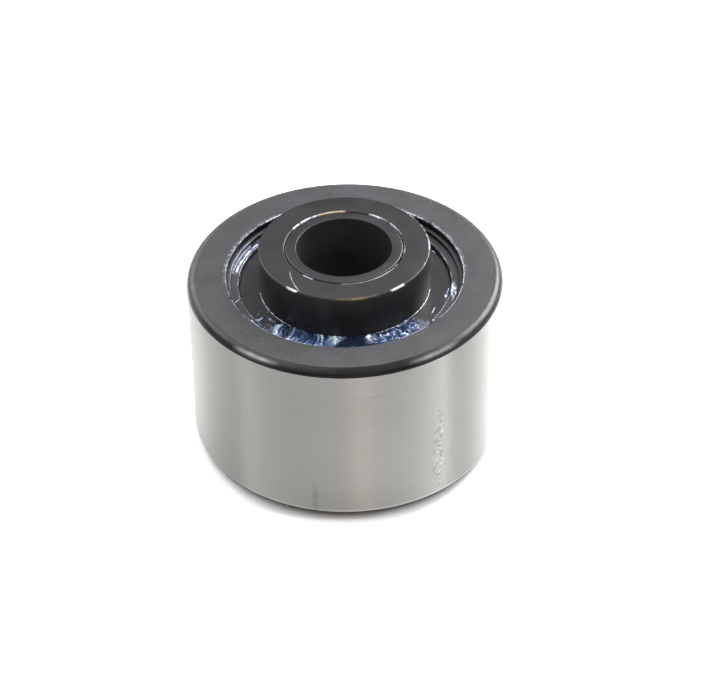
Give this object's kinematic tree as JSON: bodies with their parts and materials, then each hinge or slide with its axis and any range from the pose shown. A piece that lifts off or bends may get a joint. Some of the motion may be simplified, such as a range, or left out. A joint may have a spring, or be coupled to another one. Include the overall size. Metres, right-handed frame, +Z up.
{
  "type": "cam follower",
  "caption": "Yoke-type cam follower: a thick bright-ground steel tyre on caged cylindrical rollers round a bored inner ring with proud black hub collars.",
  "frame": {"origin": "centre of the lower hub face, on the axis of rotation, where the follower stands", "axes": "+Z up along the axis of rotation, out of the upper, taller hub; +X and +Y across it, with the oil hole of the inner ring towards +Y"},
  "size_m": [0.0636, 0.0636, 0.0452],
  "materials": {
    "ground_steel": "fine circumferential grind on the running surface, black oxide on the end faces and recesses",
    "black_oxide_steel": "satin black oxide on turned steel, worn to bright metal at the edges",
    "bearing_steel": "hardened steel, ground raceway, blackened ends and bore",
    "spring_steel": "oil-tempered flat spring steel, dark satin",
    "pressed_steel": "machined satin steel",
    "seal_rubber": "black nitrile rubber, matt",
    "cage_brass": "machined brass, satin",
    "roller_steel": "hardened and honed steel, near mirror",
    "grease": "smeared blue-grey bearing grease, wet gloss"
  },
  "bodies": {
    "hub": {"inner_ring": "bearing_steel", "upper_hub_collar": "black_oxide_steel", "lower_hub_collar": "black_oxide_steel"},
    "tyre": {"outer_ring": "ground_steel", "upper_retaining_ring": "spring_steel", "upper_end_plate": "pressed_steel", "upper_seal": "seal_rubber", "lower_retaining_ring": "spring_steel", "lower_end_plate": "pressed_steel", "lower_seal": "seal_rubber"},
    "upper_cage": {"upper_cage": "cage_brass"},
    "lower_cage": {"lower_cage": "cage_brass"},
    "upper_roller_01": {"upper_roller_01": "roller_steel"},
    "upper_roller_02": {"upper_roller_02": "roller_steel"},
    "upper_roller_03": {"upper_roller_03": "roller_steel"},
    "upper_roller_04": {"upper_roller_04": "roller_steel"},
    "upper_roller_05": {"upper_roller_05": "roller_steel"},
    "upper_roller_06": {"upper_roller_06": "roller_steel"},
    "upper_roller_07": {"upper_roller_07": "roller_steel"},
    "upper_roller_08": {"upper_roller_08": "roller_steel"},
    "upper_roller_09": {"upper_roller_09": "roller_steel"},
    "upper_roller_10": {"upper_roller_10": "roller_steel"},
    "upper_roller_11": {"upper_roller_11": "roller_steel"},
    "upper_roller_12": {"upper_roller_12": "roller_steel"},
    "upper_roller_13": {"upper_roller_13": "roller_steel"},
    "upper_roller_14": {"upper_roller_14": "roller_steel"},
    "lower_roller_01": {"lower_roller_01": "roller_steel"},
    "lower_roller_02": {"lower_roller_02": "roller_steel"},
    "lower_roller_03": {"lower_roller_03": "roller_steel"},
    "lower_roller_04": {"lower_roller_04": "roller_steel"},
    "lower_roller_05": {"lower_roller_05": "roller_steel"},
    "lower_roller_06": {"lower_roller_06": "roller_steel"},
    "lower_roller_07": {"lower_roller_07": "roller_steel"},
    "lower_roller_08": {"lower_roller_08": "roller_steel"},
    "lower_roller_09": {"lower_roller_09": "roller_steel"},
    "lower_roller_10": {"lower_roller_10": "roller_steel"},
    "lower_roller_11": {"lower_roller_11": "roller_steel"},
    "lower_roller_12": {"lower_roller_12": "roller_steel"},
    "lower_roller_13": {"lower_roller_13": "roller_steel"},
    "lower_roller_14": {"lower_roller_14": "roller_steel"}
  },
  "joints": [
    {"name": "tyre_spin", "type": "hinge", "parent": "hub", "child": "tyre", "pos_m": [0, 0, 0.02025], "axis": [0, 0, 1], "continuous": true},
    {"name": "upper_cage_spin", "type": "hinge", "parent": "hub", "child": "upper_cage", "pos_m": [0, 0, 0.0263], "axis": [0, 0, 1], "continuous": true},
    {"name": "lower_cage_spin", "type": "hinge", "parent": "hub", "child": "lower_cage", "pos_m": [0, 0, 0.0142], "axis": [0, 0, 1], "continuous": true},
    {"name": "upper_roller_01_spin", "type": "hinge", "parent": "upper_cage", "child": "upper_roller_01", "pos_m": [0.018, 0, 0.0263], "axis": [0, 0, 1], "continuous": true},
    {"name": "upper_roller_02_spin", "type": "hinge", "parent": "upper_cage", "child": "upper_roller_02", "pos_m": [0.01622, 0.00781, 0.0263], "axis": [0, 0, 1], "continuous": true},
    {"name": "upper_roller_03_spin", "type": "hinge", "parent": "upper_cage", "child": "upper_roller_03", "pos_m": [0.01122, 0.01407, 0.0263], "axis": [0, 0, 1], "continuous": true},
    {"name": "upper_roller_04_spin", "type": "hinge", "parent": "upper_cage", "child": "upper_roller_04", "pos_m": [0.004, 0.01755, 0.0263], "axis": [0, 0, 1], "continuous": true},
    {"name": "upper_roller_05_spin", "type": "hinge", "parent": "upper_cage", "child": "upper_roller_05", "pos_m": [-0.004, 0.01755, 0.0263], "axis": [0, 0, 1], "continuous": true},
    {"name": "upper_roller_06_spin", "type": "hinge", "parent": "upper_cage", "child": "upper_roller_06", "pos_m": [-0.01122, 0.01407, 0.0263], "axis": [0, 0, 1], "continuous": true},
    {"name": "upper_roller_07_spin", "type": "hinge", "parent": "upper_cage", "child": "upper_roller_07", "pos_m": [-0.01622, 0.00781, 0.0263], "axis": [0, 0, 1], "continuous": true},
    {"name": "upper_roller_08_spin", "type": "hinge", "parent": "upper_cage", "child": "upper_roller_08", "pos_m": [-0.018, 0, 0.0263], "axis": [0, 0, 1], "continuous": true},
    {"name": "upper_roller_09_spin", "type": "hinge", "parent": "upper_cage", "child": "upper_roller_09", "pos_m": [-0.01622, -0.00781, 0.0263], "axis": [0, 0, 1], "continuous": true},
    {"name": "upper_roller_10_spin", "type": "hinge", "parent": "upper_cage", "child": "upper_roller_10", "pos_m": [-0.01122, -0.01407, 0.0263], "axis": [0, 0, 1], "continuous": true},
    {"name": "upper_roller_11_spin", "type": "hinge", "parent": "upper_cage", "child": "upper_roller_11", "pos_m": [-0.004, -0.01755, 0.0263], "axis": [0, 0, 1], "continuous": true},
    {"name": "upper_roller_12_spin", "type": "hinge", "parent": "upper_cage", "child": "upper_roller_12", "pos_m": [0.004, -0.01755, 0.0263], "axis": [0, 0, 1], "continuous": true},
    {"name": "upper_roller_13_spin", "type": "hinge", "parent": "upper_cage", "child": "upper_roller_13", "pos_m": [0.01122, -0.01407, 0.0263], "axis": [0, 0, 1], "continuous": true},
    {"name": "upper_roller_14_spin", "type": "hinge", "parent": "upper_cage", "child": "upper_roller_14", "pos_m": [0.01622, -0.00781, 0.0263], "axis": [0, 0, 1], "continuous": true},
    {"name": "lower_roller_01_spin", "type": "hinge", "parent": "lower_cage", "child": "lower_roller_01", "pos_m": [0.01755, 0.004, 0.0142], "axis": [0, 0, 1], "continuous": true},
    {"name": "lower_roller_02_spin", "type": "hinge", "parent": "lower_cage", "child": "lower_roller_02", "pos_m": [0.01407, 0.01122, 0.0142], "axis": [0, 0, 1], "continuous": true},
    {"name": "lower_roller_03_spin", "type": "hinge", "parent": "lower_cage", "child": "lower_roller_03", "pos_m": [0.00781, 0.01622, 0.0142], "axis": [0, 0, 1], "continuous": true},
    {"name": "lower_roller_04_spin", "type": "hinge", "parent": "lower_cage", "child": "lower_roller_04", "pos_m": [0, 0.018, 0.0142], "axis": [0, 0, 1], "continuous": true},
    {"name": "lower_roller_05_spin", "type": "hinge", "parent": "lower_cage", "child": "lower_roller_05", "pos_m": [-0.00781, 0.01622, 0.0142], "axis": [0, 0, 1], "continuous": true},
    {"name": "lower_roller_06_spin", "type": "hinge", "parent": "lower_cage", "child": "lower_roller_06", "pos_m": [-0.01407, 0.01122, 0.0142], "axis": [0, 0, 1], "continuous": true},
    {"name": "lower_roller_07_spin", "type": "hinge", "parent": "lower_cage", "child": "lower_roller_07", "pos_m": [-0.01755, 0.004, 0.0142], "axis": [0, 0, 1], "continuous": true},
    {"name": "lower_roller_08_spin", "type": "hinge", "parent": "lower_cage", "child": "lower_roller_08", "pos_m": [-0.01755, -0.004, 0.0142], "axis": [0, 0, 1], "continuous": true},
    {"name": "lower_roller_09_spin", "type": "hinge", "parent": "lower_cage", "child": "lower_roller_09", "pos_m": [-0.01407, -0.01122, 0.0142], "axis": [0, 0, 1], "continuous": true},
    {"name": "lower_roller_10_spin", "type": "hinge", "parent": "lower_cage", "child": "lower_roller_10", "pos_m": [-0.00781, -0.01622, 0.0142], "axis": [0, 0, 1], "continuous": true},
    {"name": "lower_roller_11_spin", "type": "hinge", "parent": "lower_cage", "child": "lower_roller_11", "pos_m": [0, -0.018, 0.0142], "axis": [0, 0, 1], "continuous": true},
    {"name": "lower_roller_12_spin", "type": "hinge", "parent": "lower_cage", "child": "lower_roller_12", "pos_m": [0.00781, -0.01622, 0.0142], "axis": [0, 0, 1], "continuous": true},
    {"name": "lower_roller_13_spin", "type": "hinge", "parent": "lower_cage", "child": "lower_roller_13", "pos_m": [0.01407, -0.01122, 0.0142], "axis": [0, 0, 1], "continuous": true},
    {"name": "lower_roller_14_spin", "type": "hinge", "parent": "lower_cage", "child": "lower_roller_14", "pos_m": [0.01755, -0.004, 0.0142], "axis": [0, 0, 1], "continuous": true}
  ],
  "couplings": [
    {"joint": "upper_cage_spin", "follows": "tyre_spin", "ratio": 0.58333},
    {"joint": "lower_cage_spin", "follows": "tyre_spin", "ratio": 0.58333},
    {"joint": "upper_roller_01_spin", "follows": "tyre_spin", "ratio": 2.9167},
    {"joint": "upper_roller_02_spin", "follows": "tyre_spin", "ratio": 2.9167},
    {"joint": "upper_roller_03_spin", "follows": "tyre_spin", "ratio": 2.9167},
    {"joint": "upper_roller_04_spin", "follows": "tyre_spin", "ratio": 2.9167},
    {"joint": "upper_roller_05_spin", "follows": "tyre_spin", "ratio": 2.9167},
    {"joint": "upper_roller_06_spin", "follows": "tyre_spin", "ratio": 2.9167},
    {"joint": "upper_roller_07_spin", "follows": "tyre_spin", "ratio": 2.9167},
    {"joint": "upper_roller_08_spin", "follows": "tyre_spin", "ratio": 2.9167},
    {"joint": "upper_roller_09_spin", "follows": "tyre_spin", "ratio": 2.9167},
    {"joint": "upper_roller_10_spin", "follows": "tyre_spin", "ratio": 2.9167},
    {"joint": "upper_roller_11_spin", "follows": "tyre_spin", "ratio": 2.9167},
    {"joint": "upper_roller_12_spin", "follows": "tyre_spin", "ratio": 2.9167},
    {"joint": "upper_roller_13_spin", "follows": "tyre_spin", "ratio": 2.9167},
    {"joint": "upper_roller_14_spin", "follows": "tyre_spin", "ratio": 2.9167},
    {"joint": "lower_roller_01_spin", "follows": "tyre_spin", "ratio": 2.9167},
    {"joint": "lower_roller_02_spin", "follows": "tyre_spin", "ratio": 2.9167},
    {"joint": "lower_roller_03_spin", "follows": "tyre_spin", "ratio": 2.9167},
    {"joint": "lower_roller_04_spin", "follows": "tyre_spin", "ratio": 2.9167},
    {"joint": "lower_roller_05_spin", "follows": "tyre_spin", "ratio": 2.9167},
    {"joint": "lower_roller_06_spin", "follows": "tyre_spin", "ratio": 2.9167},
    {"joint": "lower_roller_07_spin", "follows": "tyre_spin", "ratio": 2.9167},
    {"joint": "lower_roller_08_spin", "follows": "tyre_spin", "ratio": 2.9167},
    {"joint": "lower_roller_09_spin", "follows": "tyre_spin", "ratio": 2.9167},
    {"joint": "lower_roller_10_spin", "follows": "tyre_spin", "ratio": 2.9167},
    {"joint": "lower_roller_11_spin", "follows": "tyre_spin", "ratio": 2.9167},
    {"joint": "lower_roller_12_spin", "follows": "tyre_spin", "ratio": 2.9167},
    {"joint": "lower_roller_13_spin", "follows": "tyre_spin", "ratio": 2.9167},
    {"joint": "lower_roller_14_spin", "follows": "tyre_spin", "ratio": 2.9167}
  ]
}
